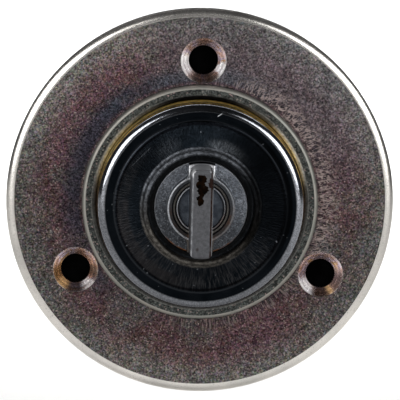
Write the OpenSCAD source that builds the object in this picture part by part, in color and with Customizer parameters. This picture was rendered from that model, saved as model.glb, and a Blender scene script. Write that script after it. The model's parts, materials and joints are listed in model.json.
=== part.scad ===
// Panel-mounted rotary isolator switch: a round flange, a drawn cover shell with a turning blade
// handle, and a can behind the panel with a barrel cam that closes a bridge onto two studs.
// The origin is on the turning axis in the panel plane. The handle faces -Y and +Z is up.

/* [Flange] */
// outer diameter of the mounting flange
flange_d = 75; // [73:0.5:78]
// thickness of the flange plate
flange_t = 2.5; // [2.4:0.1:3]
// radius of the arc that falls away at the flange's front edge
rim_round = 2.2; // [1.8:0.1:2.3]
// width over which the front edge falls away
rim_width = 1.6; // [1.2:0.1:1.7]
// pitch circle of the mounting screws
screw_pcd = 55; // [54:0.5:57]
// clearance hole for the M5 mounting screws
screw_hole_d = 5.6; // [5.3:0.1:5.8]
// diameter of the countersink at the front face
sink_d = 8.8; // [8:0.2:9.6]
// diameter of the raised collar round the shell
collar_d = 45.6; // [45.4:0.1:46.4]
// height of the collar above the flange face
collar_rise = 1.4; // [1.2:0.1:1.6]
// rounding of the collar's outer edge
collar_round = 0.7; // [0.4:0.1:0.9]
// opening in the collar
collar_hole_d = 40.5; // [40.5:0.1:41]
// rounding of the collar's inner edge
collar_lip = 0.7; // [0.4:0.1:0.8]
// thickness of the rubber gasket between the flange and the panel
gasket_t = 2; // [1.5:0.1:2.5]

/* [Cover shell] */
// outside diameter of the shell's side wall
shell_d = 40; // [39.6:0.1:40.4]
// sheet thickness of the shell
shell_wall = 0.9; // [0.7:0.1:1]
// height of the shell's face above the panel
shell_h = 8.8; // [8.4:0.1:9.2]
// outside radius of the shell's shoulder
shoulder_round = 1.6; // [1.2:0.1:2]
// rise of the dished face from its foot to the neck
dish_rise = 0.8; // [0.5:0.1:1]
// height of the rolled lip above the panel
lip_h = 11; // [10.8:0.1:11.2]
// radius of the opening inside the rolled lip
lip_r = 10.2; // [10:0.05:10.4]
// radial thickness of the rolled lip
lip_t = 0.9; // [0.8:0.05:1]

/* [Handle] */
// radius of the handle's disc
disc_r = 8.98; // [8.9:0.02:9]
// height of the disc's face above the panel
disc_h = 9.3; // [9.1:0.1:9.6]
// outer radius of the raised ring round the blade's root
ring_r = 6.5; // [6.2:0.1:6.8]
// height of the raised ring above the panel
ring_h = 11.2; // [10.8:0.1:11.4]
// width of the two ears that join the ring to the disc's edge
ear_w = 5; // [4.4:0.1:5.4]
// height of the blade's end face above the panel
blade_h = 18.6; // [17.5:0.1:20]
// thickness of the blade at its root
blade_root = 4.6; // [4.4:0.1:4.9]
// thickness of the blade at its end face
blade_top = 4.1; // [3.8:0.1:4.3]
// radius of the blade's curved ends
blade_r = 8.5; // [8.2:0.1:8.8]
// rounding of the blade's end face
blade_round = 0.5; // [0.3:0.1:0.8]
// rounding of the blade's upright corners
blade_corner = 1.6; // [1.2:0.1:2]
// fillet where the ears meet the raised ring
ear_fillet = 1.6; // [1:0.1:2.4]

/* [Spindle and bearing] */
// diameter of the spindle
spindle_d = 8; // [7.8:0.1:8.2]
// radial running clearance in the bush
spindle_gap = 0.03; // [0.02:0.01:0.08]
// outside diameter of the bush
bush_d = 12; // [11.6:0.1:12.4]
// thickness of the bearing plate
plate_t = 2; // [1.8:0.1:2.1]
// diameter of the roll pins
roll_pin_d = 2; // [1.8:0.1:2.1]

/* [Cam] */
// turn of the handle from off to on, in degrees
turn = 90; // [80:5:90]
// travel of the contact bridge over the whole turn
stroke = 3; // [2.5:0.1:3]
// outside diameter of the cam sleeve
sleeve_d = 15; // [14.8:0.1:15.1]
// bore of the cam sleeve
sleeve_bore_d = 10; // [9.9:0.1:10.2]
// diameter of the cross pin that follows the helical slots
cross_pin_d = 2; // [1.8:0.1:2]
// clearance between the cross pin and its slots, on the radius
pin_gap = 0.1; // [0.08:0.01:0.14]
// radius of the detent balls
ball_r = 1.5; // [1.4:0.1:1.5]

/* [Rear housing] */
// outside diameter of the can behind the panel
can_d = 42.8; // [42.6:0.1:43.2]
// diameter of the can's welded brim
can_brim_d = 46.8; // [46.4:0.1:47.2]
// distance from the panel plane to the crimp
can_depth = 41.6; // [41.4:0.1:41.8]
// diameter of the base where it leaves the crimp
base_boss_d = 36.8; // [36.4:0.1:36.9]
// distance from the panel plane to the base's rear face
base_depth = 45; // [44.5:0.1:46]

/* [Contacts and studs] */
// distance between the two terminal studs
stud_spacing = 22; // [21.6:0.1:22.2]
// thread diameter of the terminal studs
stud_d = 8; // [7.8:0.1:8]
// distance from the panel plane to the ends of the studs
stud_reach = 66; // [62:0.5:72]
// width across the flats of the stud nuts
nut_flats = 13; // [12.6:0.1:13]
// thickness of the copper contact bridge
bridge_t = 2.4; // [2.2:0.1:2.5]
// width of the contact bridge
bridge_w = 11; // [10.5:0.1:12]
// radius of the silver contact tips
tip_r = 3.5; // [3:0.1:3.8]
// air left between closed contact faces
closed_gap = 0.03; // [0.03:0.01:0.1]
// wire diameter of the contact pressure spring
spring_wire = 1.2; // [1:0.05:1.2]

/* [Hidden] */
$fn = 96;
eps = 0.01;
weld_gap = 0.05;

flange_r = flange_d / 2;
collar_r = collar_d / 2;
collar_h = flange_t + collar_rise;
hole_r = collar_hole_d / 2;
recess_r = collar_r - 0.5;
root_fillet = 0.3;
sink_depth = (sink_d - screw_hole_d) / 2;

gasket_margin = 1;

shell_r = shell_d / 2;
shell_in = shell_r - shell_wall;
brim_r = recess_r - 0.1;
brim_fillet = 0.5;
flat_r = shell_r - 3.3;
dish_r = lip_r + 1.6;
neck_r = lip_r + lip_t;
neck_under = shell_h + dish_rise - shell_wall;

can_r = can_d / 2;
can_in = can_r - 0.9;
sheet = 0.9;
insert_r = can_in - 0.1;
crimp_r = base_boss_d / 2 + 0.1;

disc_under = 6;
disc_edge = 0.15;
disc_fall = 0.2;
bore_top = 8.9;
ring_in = ring_r - 1.1;
ring_chamfer = 0.2;
ring_crest = ring_r - 0.35;
ring_slope = 0.4;
step_h = ring_h - 0.7;
groove_out = ring_r - 1.55;
groove_in = ring_r - 1.8;
groove_h = step_h - 0.35;
inner_lip_r = ring_r - 2.1;
inner_lip_h = step_h + 0.1;
pocket_h = disc_h + 0.6;
ear_corner = 0.6;
ear_reach = disc_r - 0.1;
ear_round = 0.5;
handle_pin_z = 7.4;
handle_pin_half = 8.6;

spindle_r = spindle_d / 2;
spindle_end = -8;
bush_top = 5.2;
bush_flange_r = 8.5;
bush_flange_t = 1.2;
seal_r = disc_r + 0.04;
seal_top = 8.9;
seal_under = 7;
seal_flange_r = lip_r + 1.4;
retainer_t = 0.6;
oring_z = 3;
oring_cord = 0.5;
clip_z = -3.6;
clip_t = 0.8;
clip_groove_r = spindle_r - 0.7;
washer_z = -2.75;
washer_t = 0.65;

sleeve_r = sleeve_d / 2;
sleeve_bore_r = sleeve_bore_d / 2;
sleeve_front = -4.4;
sleeve_step = -9;
sleeve_end = -18.6;
cam_pin_z = -5.9;
cross_pin_r = cross_pin_d / 2;
cross_z = -13;
cross_half = 9.2;
slot_r = cross_pin_r + pin_gap;
slot_steps = 15;
detent_z = -9;
ball_at = sleeve_r - 0.5 + ball_r;
ball_gap = 0.05;
notch_depth = 0.3;

cam_bore_r = sleeve_r + 0.08;
cam_groove_r = 9.5;
cam_mouth_r = 8.6;
cam_end = -21;
cam_floor = -19;
detent_step_r = 15;
detent_screw_r = 2.5;
detent_screw_l = 5;
detent_socket = 2.5;
detent_spring_wire = 0.5;

plunger_r = sleeve_bore_r - 0.05;
plunger_top = -9.6;
plunger_step = -22;
plunger_end = -34;
square_w = 5.4;
square_end = -30;
thread_r = 2.5;
seat_t = 0.8;
insulator_t = 1;
insulator_r = 7;
sleeve_sq = 8;
bridge_top = square_end + bridge_t;
bridge_nut_t = 2.7;
bridge_nut_flats = 8;
spring_r = 5.2;
spring_front = plunger_step - seat_t;
spring_rear = bridge_top + insulator_t;
spring_turns = 2;

tip_t = 0.8;
fixed_tip_top = square_end - tip_t - stroke - closed_gap;
head_top = fixed_tip_top - tip_t;
head_w = 10;
pocket_floor = -38.6;
floor_top = -37.6;
cavity_r = 17.4;
spigot_r = cavity_r - 0.1;
stud_x = stud_spacing / 2;
stud_r = stud_d / 2;
washer_r = 7;
plain_t = 1.6;
split_t = 2.2;
stud_nut_t = 4;
stud_nut_end = -base_depth - plain_t - split_t - stud_nut_t;
stud_relief_r = stud_r - 0.6;
stud_relief_w = 0.8;
stud_chamfer = 0.8;
rib_t = 2;
rib_w = 28;
rib_end = -58;

zinc = [0.72, 0.71, 0.69];
dark_steel = [0.38, 0.39, 0.42];
grey_cast = [0.52, 0.51, 0.49];
bright_steel = [0.75, 0.76, 0.78];
gold_zinc = [0.78, 0.66, 0.36];
bronze = [0.70, 0.52, 0.28];
copper = [0.80, 0.46, 0.32];
silver = [0.88, 0.88, 0.86];
black_rubber = [0.08, 0.08, 0.08];
phenolic = [0.16, 0.12, 0.10];
nylon = [0.86, 0.84, 0.76];

// turns a piece drawn with its front towards +Z so that the front faces -Y
module place() {
  rotate([90, 0, 0]) children();
}

// plain ring between two radii and two heights
module ring(r_in, r_out, z0, z1) {
  rotate_extrude() translate([r_in, z0]) square([r_out - r_in, z1 - z0]);
}

// round bar along X at a height, reaching the same way both sides
module cross_bar(r, half, z) {
  translate([-half, 0, z]) rotate([0, 90, 0]) cylinder(r = r, h = 2 * half);
}

// slotted spring pin along X
module roll_pin(half, z) {
  r = roll_pin_d / 2;
  difference() {
    cross_bar(r, half, z);
    cross_bar(r * 0.6, half + 1, z);
    translate([-half - 1, -r * 0.15, z]) cube([2 * half + 2, r * 0.3, r * 2]);
  }
}

// round wire coil along Z made of tilted half turns, from the axis' origin upwards
module coil(r, wire, pitch, turns) {
  tilt = asin(pitch / (4 * r));
  for (k = [0 : 2 * turns - 1]) {
    translate([0, 0, (k + 0.5) * pitch / 2])
      rotate([0, tilt, k * 180])
        rotate_extrude(angle = 180) translate([r, 0]) circle(d = wire, $fn = 24);
  }
}

// copies a terminal piece onto both studs
module at_studs() {
  for (s = [-1, 1]) translate([s * stud_x, 0, 0]) children();
}

// pressed mounting flange with its collar
module flange_profile() {
  difference() {
    union() {
      square([flange_r - rim_width, flange_t]);
      square([flange_r, flange_t - rim_round]);
      intersection() {
        translate([flange_r - rim_width, flange_t - rim_round]) circle(r = rim_round);
        square([flange_r, flange_t]);
      }
      square([collar_r, collar_h - collar_round]);
      square([collar_r - collar_round, collar_h]);
      translate([collar_r - collar_round, collar_h - collar_round]) circle(r = collar_round);
      difference() {
        translate([collar_r, flange_t]) square(root_fillet);
        translate([collar_r + root_fillet, flange_t + root_fillet]) circle(r = root_fillet);
      }
    }
    square([hole_r, collar_h + 1]);
    difference() {
      translate([hole_r - eps, collar_h - collar_lip]) square([collar_lip + eps, collar_lip + 1]);
      translate([hole_r + collar_lip, collar_h - collar_lip]) circle(r = collar_lip);
    }
    square([recess_r, collar_rise]);
    translate([0, -2 * flange_t]) square([flange_r + 1, 2 * flange_t]);
  }
}

module flange() {
  color(zinc) place() difference() {
    rotate_extrude() flange_profile();
    for (a = [90, 210, 330]) rotate([0, 0, a]) translate([screw_pcd / 2, 0, 0]) {
      translate([0, 0, -1]) cylinder(d = screw_hole_d, h = flange_t + 2);
      translate([0, 0, flange_t - sink_depth])
        cylinder(d1 = screw_hole_d, d2 = sink_d, h = sink_depth);
    }
  }
}

// closed rubber ring behind the flange, which the mounting screws pierce
module panel_gasket() {
  color(black_rubber) place() ring(can_brim_d / 2 + 0.1, flange_r - gasket_margin, -gasket_t, 0);
}

// rubber gasket under the collar
module collar_gasket() {
  color(black_rubber) place() ring(shell_r + brim_fillet, brim_r, shell_wall, collar_rise);
}

// drawn cover shell with a brim, rounded shoulder, dished face and rolled lip
module shell_profile() {
  shoulder_in = shoulder_round - shell_wall;
  difference() {
    union() {
      square([brim_r, shell_wall]);
      square([shell_r, shell_h - shoulder_round]);
      square([shell_r - shoulder_round, shell_h]);
      translate([shell_r - shoulder_round, shell_h - shoulder_round]) circle(r = shoulder_round);
      polygon([[0, shell_h - eps], [flat_r, shell_h - eps], [flat_r, shell_h],
        [dish_r, shell_h + dish_rise], [0, shell_h + dish_rise]]);
      square([neck_r, lip_h - lip_t / 2]);
      translate([neck_r - lip_t / 2, lip_h - lip_t / 2]) circle(r = lip_t / 2);
      difference() {
        translate([neck_r, shell_h]) square([dish_r - neck_r, dish_rise + dish_r - neck_r]);
        translate([dish_r, shell_h + dish_rise + dish_r - neck_r]) circle(r = dish_r - neck_r);
      }
      difference() {
        translate([shell_r, shell_wall]) square(brim_fillet);
        translate([shell_r + brim_fillet, shell_wall + brim_fillet]) circle(r = brim_fillet);
      }
    }
    square([lip_r, lip_h + 1]);
    translate([0, -1]) square([shell_in, shell_h - shoulder_round + 1]);
    translate([0, shell_h - shoulder_round - 1])
      square([shell_r - shoulder_round, shoulder_in + 1]);
    translate([shell_r - shoulder_round, shell_h - shoulder_round]) circle(r = shoulder_in);
    polygon([[0, shell_h - shell_wall - eps], [flat_r - 0.1, shell_h - shell_wall - eps],
      [flat_r - 0.1, shell_h - shell_wall], [dish_r - 0.1, neck_under], [0, neck_under]]);
  }
}

module cover_shell() {
  color(dark_steel) place() rotate_extrude() shell_profile();
}

// rubber seal between the shell's neck and the handle's disc
module shaft_seal() {
  color(black_rubber) place() union() {
    ring(seal_r, lip_r, seal_under, seal_top);
    ring(seal_r, seal_flange_r, seal_under, neck_under - weld_gap);
  }
}

// pressed ring that holds the seal up against the shell's face
module seal_retainer() {
  color(bright_steel) place() rotate_extrude() union() {
    translate([seal_r + 0.8, seal_under - retainer_t])
      square([seal_flange_r - seal_r - 0.8 + retainer_t + weld_gap, retainer_t]);
    translate([seal_flange_r + weld_gap, seal_under - retainer_t])
      square([retainer_t, neck_under - seal_under + retainer_t - 0.15]);
  }
}

// steel plate across the mouth of the can that carries the bush
module bearing_plate() {
  color(bright_steel) place() ring(bush_d / 2, insert_r, -plate_t, 0);
}

// flanged bronze bush for the spindle
module spindle_bush() {
  color(bronze) place() rotate_extrude() difference() {
    union() {
      translate([0, -plate_t]) square([bush_d / 2, bush_top + plate_t]);
      square([bush_flange_r, bush_flange_t]);
    }
    translate([0, -plate_t - 1]) square([spindle_r + spindle_gap, bush_top + plate_t + 2]);
  }
}

// drawn can with a welded brim and a crimped rear edge
module can_profile() {
  difference() {
    union() {
      translate([0, -can_depth]) square([can_r, can_depth]);
      translate([0, -sheet]) square([can_brim_d / 2, sheet]);
      translate([0, -can_depth - sheet]) square([can_r - sheet, sheet + 1]);
      translate([can_r - sheet, -can_depth]) circle(r = sheet);
      difference() {
        translate([can_r, -sheet - brim_fillet]) square(brim_fillet);
        translate([can_r + brim_fillet, -sheet - brim_fillet]) circle(r = brim_fillet);
      }
    }
    translate([0, -can_depth]) square([can_in, can_depth + 1]);
    translate([0, -can_depth - 2]) square([crimp_r, 3]);
  }
}

module rear_can() {
  color(gold_zinc) place() rotate_extrude() can_profile();
}

// phenolic block with the cam bore, pin grooves and detent bores
module cam_housing() {
  color(phenolic) place() difference() {
    rotate_extrude() difference() {
      union() {
        translate([0, cam_end]) square([insert_r, -plate_t - cam_end]);
        translate([0, cam_end - 1]) square([spigot_r, 2]);
      }
      translate([0, cam_floor]) square([cam_bore_r, -cam_floor]);
      translate([0, sleeve_front]) square([cam_mouth_r, -sleeve_front]);
      translate([0, cam_end - 2]) square([sleeve_bore_r, 5]);
    }
    translate([-cam_groove_r, -slot_r, cross_z - stroke - 2 * slot_r])
      cube([2 * cam_groove_r, 2 * slot_r, -cross_z + stroke + 2 * slot_r]);
    for (s = [-1, 1]) translate([0, 0, detent_z]) rotate([s * 90, 0, 0]) {
      translate([0, 0, sleeve_bore_r]) cylinder(r = ball_r + ball_gap, h = insert_r);
      translate([0, 0, detent_step_r]) cylinder(r = detent_screw_r, h = insert_r);
    }
  }
}

// steel balls that ride on the cam sleeve
module detent_balls() {
  color(bright_steel) place()
    for (s = [-1, 1]) translate([0, s * ball_at, detent_z]) sphere(r = ball_r);
}

// small coil springs behind the balls
module detent_springs() {
  wire = detent_spring_wire;
  front = ball_at + ball_r;
  pitch = (detent_step_r - front - wire) / 3;
  color(bright_steel) place()
    for (s = [-1, 1]) translate([0, 0, detent_z]) rotate([s * -90, 0, 0])
      translate([0, 0, front + wire / 2]) coil(ball_r - 0.5, wire, pitch * 0.98, 3);
}

// socket set screws that load the detent springs
module detent_screws() {
  color(dark_steel) place()
    for (s = [-1, 1]) translate([0, 0, detent_z]) rotate([s * -90, 0, 0]) difference() {
      translate([0, 0, detent_step_r]) cylinder(r = detent_screw_r, h = detent_screw_l);
      translate([0, 0, detent_step_r + detent_screw_l - detent_socket])
        cylinder(d = detent_socket / cos(30), h = detent_screw_l, $fn = 6);
    }
}

// phenolic base with the contact chamber, stud seats and the barrier between the studs
module terminal_base() {
  color(phenolic) place() difference() {
    union() {
      rotate_extrude() difference() {
        union() {
          translate([0, -can_depth]) square([insert_r, can_depth + cam_end]);
          translate([0, -base_depth]) square([base_boss_d / 2, 5]);
        }
        translate([0, floor_top]) square([cavity_r, cam_end - floor_top + 1]);
      }
      translate([-rib_t / 2, -rib_w / 2, rib_end])
        cube([rib_t, rib_w, -rib_end - base_depth + 1]);
    }
    at_studs() {
      translate([0, 0, -base_depth - 1]) cylinder(r = stud_r, h = 12);
      translate([-head_w / 2, -head_w / 2, pocket_floor]) cube([head_w, head_w, 3]);
    }
  }
}

// square-headed copper terminal studs with a relief groove behind the nuts
module terminal_studs() {
  color(copper) place() at_studs() union() {
    translate([-head_w / 2, -head_w / 2, pocket_floor])
      cube([head_w, head_w, head_top - pocket_floor]);
    rotate_extrude() polygon([[0, pocket_floor + 1], [stud_r, pocket_floor + 1],
      [stud_r, stud_nut_end], [stud_relief_r, stud_nut_end],
      [stud_relief_r, stud_nut_end - stud_relief_w], [stud_r, stud_nut_end - stud_relief_w],
      [stud_r, stud_chamfer - stud_reach], [stud_r - stud_chamfer, -stud_reach],
      [0, -stud_reach]]);
  }
}

// silver tips on the stud heads
module fixed_contacts() {
  color(silver) place() at_studs()
    translate([0, 0, head_top]) cylinder(r = tip_r, h = fixed_tip_top - head_top);
}

// plain washers against the base
module stud_washers() {
  color(bright_steel) place() at_studs()
    ring(stud_r, washer_r, -base_depth - plain_t, -base_depth);
}

// split spring washers
module spring_washers() {
  top = -base_depth - plain_t;
  color(bright_steel) place() at_studs() difference() {
    ring(stud_r, washer_r - 0.6, top - split_t, top);
    rotate([0, 0, 40]) translate([0, -0.3, top - split_t - 1])
      cube([washer_r + 1, 0.6, split_t + 2]);
  }
}

// hexagon nuts that hold the studs in the base
module stud_nuts() {
  color(bright_steel) place() at_studs() translate([0, 0, stud_nut_end]) difference() {
    intersection() {
      cylinder(d = nut_flats / cos(30), h = stud_nut_t, $fn = 6);
      cylinder(r1 = nut_flats / 2, r2 = nut_flats / 2 + 2 * stud_nut_t, h = stud_nut_t);
    }
    translate([0, 0, -1]) cylinder(r = stud_r, h = stud_nut_t + 2);
  }
}

// cast handle: disc, raised ring with two ears, and the blade
module handle_profile() {
  edge_h = disc_h - disc_fall;
  polygon([[0, disc_under], [disc_r, disc_under], [disc_r, edge_h - disc_edge],
    [disc_r - disc_edge, edge_h], [ring_r, disc_h], [0, disc_h]]);
}

module ring_profile() {
  foot = disc_h - 0.5;
  polygon([[0, foot], [ring_r, foot], [ring_r, ring_h - ring_chamfer],
    [ring_r - ring_chamfer, ring_h], [ring_crest, ring_h], [ring_in, ring_h - ring_slope],
    [ring_in, step_h], [groove_out, step_h], [groove_out, groove_h], [groove_in, groove_h],
    [groove_in, inner_lip_h], [inner_lip_r, inner_lip_h], [inner_lip_r, pocket_h], [0, pocket_h]]);
}

// upright bar outline with rounded corners
module rounded_bar(w, reach, corner) {
  square([w - 2 * corner, 2 * reach], center = true);
  square([w, 2 * (reach - corner)], center = true);
  for (sx = [-1, 1], sy = [-1, 1])
    translate([sx * (w / 2 - corner), sy * (reach - corner)]) circle(r = corner);
}

module ear_outline() {
  half = ear_w / 2;
  fx = half + ear_fillet;
  fy = sqrt(pow(ring_r + ear_fillet, 2) - fx * fx);
  rounded_bar(ear_w, ear_reach, ear_corner);
  for (sx = [-1, 1], sy = [-1, 1]) difference() {
    polygon([[0, 0], [sx * fx, sy * fy], [sx * half, sy * fy], [0, sy * fy]]);
    translate([sx * fx, sy * fy]) circle(r = ear_fillet);
  }
}

module ears() {
  intersection() {
    translate([0, 0, disc_h - 0.5]) rotate_extrude() difference() {
      union() {
        square([ear_reach, ring_h - disc_h + 0.5 - ear_round]);
        square([ear_reach - ear_round, ring_h - disc_h + 0.5]);
        translate([ear_reach - ear_round, ring_h - disc_h + 0.5 - ear_round]) circle(r = ear_round);
      }
      square([ring_in + 0.8, ring_h]);
    }
    linear_extrude(ring_h + 1) ear_outline();
  }
}

module blade() {
  shoulder = blade_h - blade_round;
  half = blade_top / 2;
  intersection() {
    translate([0, disc_r, 0]) rotate([90, 0, 0]) linear_extrude(2 * disc_r) {
      polygon([[-blade_root / 2, disc_h - 0.5], [blade_root / 2, disc_h - 0.5],
        [half, shoulder], [-half, shoulder]]);
      translate([-half + blade_round, shoulder - eps])
        square([blade_top - 2 * blade_round, blade_round + eps]);
      for (s = [-1, 1]) translate([s * (half - blade_round), shoulder]) circle(r = blade_round);
    }
    rotate_extrude() union() {
      square([blade_r, shoulder]);
      square([blade_r - blade_round, blade_h]);
      translate([blade_r - blade_round, shoulder]) circle(r = blade_round);
    }
    linear_extrude(blade_h + 1) rounded_bar(blade_root, blade_r, blade_corner);
  }
}

module handle() {
  color(grey_cast) place() difference() {
    union() {
      rotate_extrude() handle_profile();
      rotate_extrude() ring_profile();
      ears();
      blade();
    }
    translate([0, 0, disc_under - 1]) cylinder(r = spindle_r, h = bore_top - disc_under + 1);
    cross_bar(roll_pin_d / 2, disc_r + 1, handle_pin_z);
  }
}

// turned spindle with grooves for the sealing ring and the circlip
module spindle() {
  color(bright_steel) place() difference() {
    rotate_extrude() difference() {
      polygon([[0, spindle_end], [spindle_r - 0.4, spindle_end], [spindle_r, spindle_end + 0.4],
        [spindle_r, bore_top - 0.4], [spindle_r - 0.4, bore_top], [0, bore_top]]);
      translate([spindle_r - 2 * oring_cord, oring_z - 0.65]) square([3, 1.3]);
      translate([clip_groove_r, clip_z]) square([3, clip_t]);
    }
    cross_bar(roll_pin_d / 2, spindle_r + 1, handle_pin_z);
    cross_bar(roll_pin_d / 2, spindle_r + 1, cam_pin_z);
  }
}

// pin that fixes the handle to the spindle
module handle_pin() {
  color(dark_steel) place() roll_pin(handle_pin_half, handle_pin_z);
}

// sealing ring in the spindle's groove
module spindle_oring() {
  color(black_rubber) place()
    translate([0, 0, oring_z]) rotate_extrude()
      translate([spindle_r - oring_cord, 0]) circle(r = oring_cord);
}

// nylon washer under the handle's disc
module thrust_washer() {
  color(nylon) place() ring(spindle_r, 8, bush_top + 0.1, disc_under);
}

// steel washer behind the bearing plate
module retaining_washer() {
  color(bright_steel) place() ring(spindle_r, 7, washer_z, washer_z + washer_t);
}

// external circlip with two eyes
module circlip() {
  eye_r = 1.1;
  eye_at = clip_groove_r + 2.3;
  color(dark_steel) place() difference() {
    union() {
      ring(clip_groove_r, clip_groove_r + 1.7, clip_z, clip_z + clip_t);
      for (s = [-1, 1]) rotate([0, 0, 90 + s * 24]) translate([eye_at, 0, clip_z])
        cylinder(r = eye_r, h = clip_t);
    }
    for (s = [-1, 1]) rotate([0, 0, 90 + s * 24]) translate([eye_at, 0, clip_z - 1])
      cylinder(r = 0.5, h = clip_t + 2);
    translate([-0.7, 0, clip_z - 1]) cube([1.4, 9, clip_t + 2]);
  }
}

// barrel cam: a hub pinned to the spindle and a tube with two helical slots
module cam_sleeve() {
  color(bright_steel) place() difference() {
    rotate_extrude() difference() {
      translate([0, sleeve_end]) square([sleeve_r, sleeve_front - sleeve_end]);
      translate([0, sleeve_end - 1]) square([sleeve_bore_r, sleeve_step - sleeve_end + 1]);
      translate([0, spindle_end]) square([spindle_r, 8]);
      translate([ball_at, detent_z]) circle(r = ball_r + ball_gap);
    }
    for (a = [0, 90, 180, 270]) rotate([0, 0, a])
      translate([ball_at - notch_depth, 0, detent_z]) sphere(r = ball_r + ball_gap);
    for (k = [0 : slot_steps])
      rotate([0, 0, turn * k / slot_steps])
        cross_bar(slot_r, sleeve_r + 1, cross_z - stroke * k / slot_steps);
    cross_bar(roll_pin_d / 2, sleeve_r + 1, cam_pin_z);
  }
}

// pin that fixes the cam sleeve to the spindle
module cam_pin() {
  color(dark_steel) place() roll_pin(sleeve_r - 0.2, cam_pin_z);
}

// plunger that slides in the cam sleeve and carries the contact bridge
module plunger() {
  color(bright_steel) place() difference() {
    union() {
      translate([0, 0, plunger_step]) cylinder(r = plunger_r, h = plunger_top - plunger_step);
      translate([-square_w / 2, -square_w / 2, square_end])
        cube([square_w, square_w, plunger_step - square_end + 1]);
      translate([0, 0, plunger_end]) cylinder(r = thread_r, h = square_end - plunger_end + 1);
    }
    cross_bar(cross_pin_r, plunger_r + 1, cross_z);
  }
}

// hardened pin through the plunger, the helical slots and the housing's grooves
module cross_pin() {
  color(dark_steel) place() cross_bar(cross_pin_r, cross_half, cross_z);
}

// steel washer between the plunger's shoulder and the contact spring
module spring_seat() {
  color(bright_steel) place() difference() {
    ring(0, insulator_r, plunger_step - seat_t, plunger_step);
    translate([-square_w / 2, -square_w / 2, plunger_step - 2])
      cube([square_w, square_w, 4]);
  }
}

// spring that gives the contacts their pressure
module contact_spring() {
  pitch = (spring_front - spring_rear - spring_wire) / spring_turns;
  color(bright_steel) place()
    translate([0, 0, spring_rear + spring_wire / 2]) coil(spring_r, spring_wire, pitch, spring_turns);
}

// square-shouldered insulator between the plunger and the bridge
module bridge_insulator() {
  color(phenolic) place() difference() {
    union() {
      translate([0, 0, bridge_top]) cylinder(r = insulator_r, h = insulator_t);
      translate([-sleeve_sq / 2, -sleeve_sq / 2, square_end]) cube([sleeve_sq, sleeve_sq, bridge_t + 0.5]);
    }
    translate([-square_w / 2, -square_w / 2, square_end - 1]) cube([square_w, square_w, 6]);
  }
}

// copper bar that joins the two studs when the switch is on
module contact_bridge() {
  reach = stud_x + tip_r + 0.3;
  color(copper) place() difference() {
    intersection() {
      translate([-reach, -bridge_w / 2, square_end]) cube([2 * reach, bridge_w, bridge_t]);
      translate([0, 0, square_end - 1]) cylinder(r = reach + 0.4, h = bridge_t + 2);
    }
    translate([-sleeve_sq / 2, -sleeve_sq / 2, square_end - 1]) cube([sleeve_sq, sleeve_sq, 6]);
  }
}

// silver tips on the bridge
module moving_contacts() {
  color(silver) place() at_studs()
    translate([0, 0, square_end - tip_t]) cylinder(r = tip_r, h = tip_t);
}

// insulating washer behind the bridge
module insulating_washer() {
  color(phenolic) place() ring(thread_r, insulator_r - 0.4, square_end - insulator_t, square_end);
}

// thin nut that holds the bridge on the plunger
module bridge_nut() {
  top = square_end - insulator_t;
  color(bright_steel) place() difference() {
    translate([0, 0, top - bridge_nut_t])
      cylinder(d = bridge_nut_flats / cos(30), h = bridge_nut_t, $fn = 6);
    translate([0, 0, top - bridge_nut_t - 1]) cylinder(r = thread_r, h = bridge_nut_t + 2);
  }
}

flange();
panel_gasket();
collar_gasket();
cover_shell();
shaft_seal();
seal_retainer();
bearing_plate();
spindle_bush();
rear_can();
cam_housing();
detent_balls();
detent_springs();
detent_screws();
terminal_base();
terminal_studs();
fixed_contacts();
stud_washers();
spring_washers();
stud_nuts();
handle();
spindle();
handle_pin();
spindle_oring();
thrust_washer();
retaining_washer();
circlip();
cam_sleeve();
cam_pin();
plunger();
cross_pin();
spring_seat();
contact_spring();
bridge_insulator();
contact_bridge();
moving_contacts();
insulating_washer();
bridge_nut();
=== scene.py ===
import json
import math

import bmesh
import bpy
from mathutils import Matrix, Vector


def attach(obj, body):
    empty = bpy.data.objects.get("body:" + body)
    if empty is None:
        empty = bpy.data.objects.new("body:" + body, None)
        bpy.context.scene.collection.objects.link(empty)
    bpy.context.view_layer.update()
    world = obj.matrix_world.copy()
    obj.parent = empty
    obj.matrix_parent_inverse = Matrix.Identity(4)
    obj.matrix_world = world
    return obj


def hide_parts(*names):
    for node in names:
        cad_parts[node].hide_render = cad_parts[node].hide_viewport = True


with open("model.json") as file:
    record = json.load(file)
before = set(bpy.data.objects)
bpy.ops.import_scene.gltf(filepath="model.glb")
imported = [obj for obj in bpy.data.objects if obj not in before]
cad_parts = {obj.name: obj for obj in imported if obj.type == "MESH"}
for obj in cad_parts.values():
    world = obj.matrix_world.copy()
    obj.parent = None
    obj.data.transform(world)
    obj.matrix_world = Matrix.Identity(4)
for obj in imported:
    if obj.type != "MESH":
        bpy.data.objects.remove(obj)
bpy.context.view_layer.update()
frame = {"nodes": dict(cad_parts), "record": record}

MM = 0.001
NODES = frame["nodes"]
SEGMENTS = 256

# Main sizes in millimetres: radii from the turning axis and heights forward of the panel plane.
FLANGE_R, PLATE_TOP = 37.5, 2.5
HOLE_CIRCLE_R, CLEARANCE_R, CONE_R = 27.5, 2.8, 4.4
COLLAR_R, COLLAR_BORE_R, COLLAR_TOP = 22.8, 20.15, 3.9
SHELL_R, SHOULDER_TOP, SHELL_LIP_R = 20.0, 8.8, 11.1
DISC_R, DISC_TOP = 8.98, 9.3
HUB_R, HUB_TOP = 6.5, 11.2
EAR_REACH = 8.88
BLADE_REACH, BLADE_TOP = 8.5, 18.6
CAN_R, CAN_BACK = 21.4, 42.5
HOLES = [(HOLE_CIRCLE_R * math.cos(math.radians(a)), HOLE_CIRCLE_R * math.sin(math.radians(a)))
         for a in (90, 210, 330)]


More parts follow.
